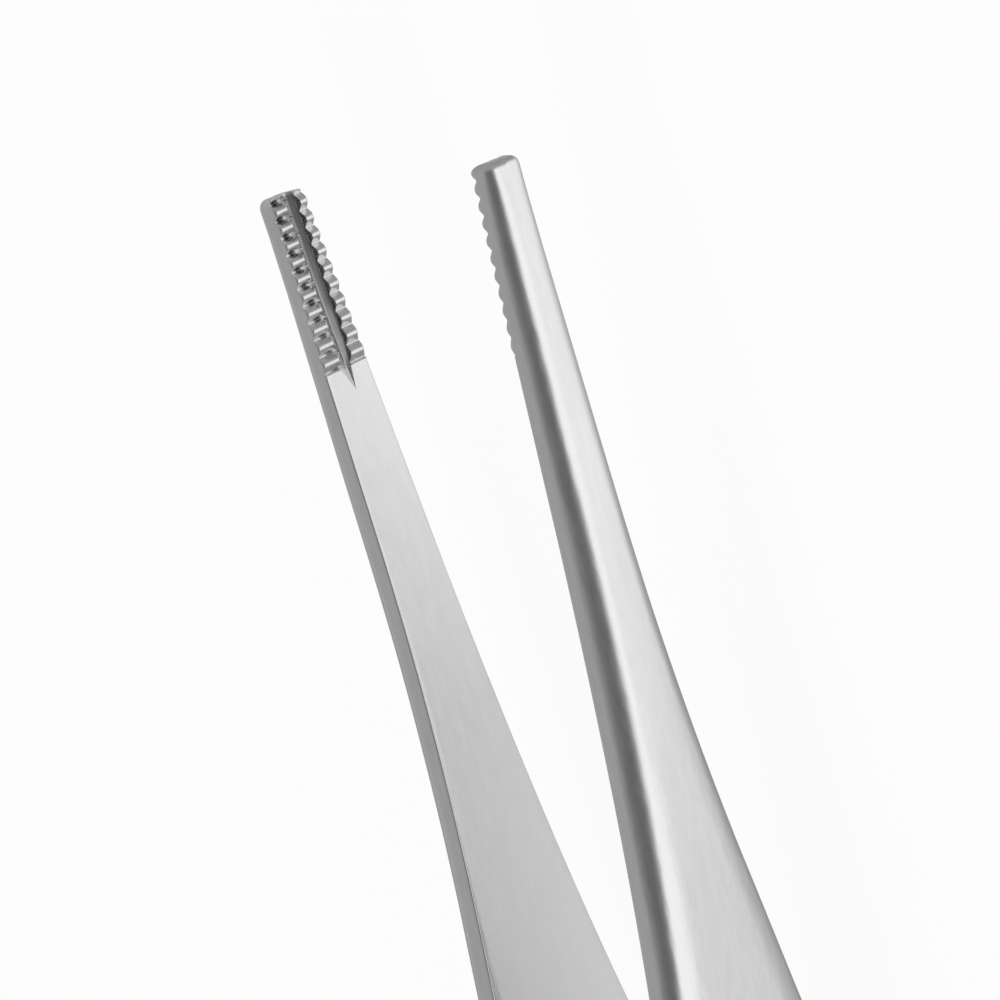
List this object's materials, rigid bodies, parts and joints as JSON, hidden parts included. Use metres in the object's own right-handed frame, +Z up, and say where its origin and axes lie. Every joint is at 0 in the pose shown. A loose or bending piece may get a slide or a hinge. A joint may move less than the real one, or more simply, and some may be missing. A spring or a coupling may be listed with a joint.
{
  "type": "thumb forceps",
  "caption": "Thumb forceps of satin steel: spring arms welded at the heel, wide thumb plates, narrow jaws with side-grasping teeth on both rails of a grooved face.",
  "frame": {"origin": "centre of the bounding box's base: mid-length, on the mid-plane between the arms, level with the lower edges of the thumb plates", "axes": "+X along the length towards the tips, Y across the opening from one arm to the other, +Z up, along the width of the arms; the forceps lie on their side as they come to rest"},
  "size_m": [0.12, 0.0162, 0.0135],
  "materials": {
    "satin_steel": "satin"
  },
  "bodies": {
    "root": {"arm_left": "satin_steel", "arm_right": "satin_steel"}
  },
  "joints": []
}
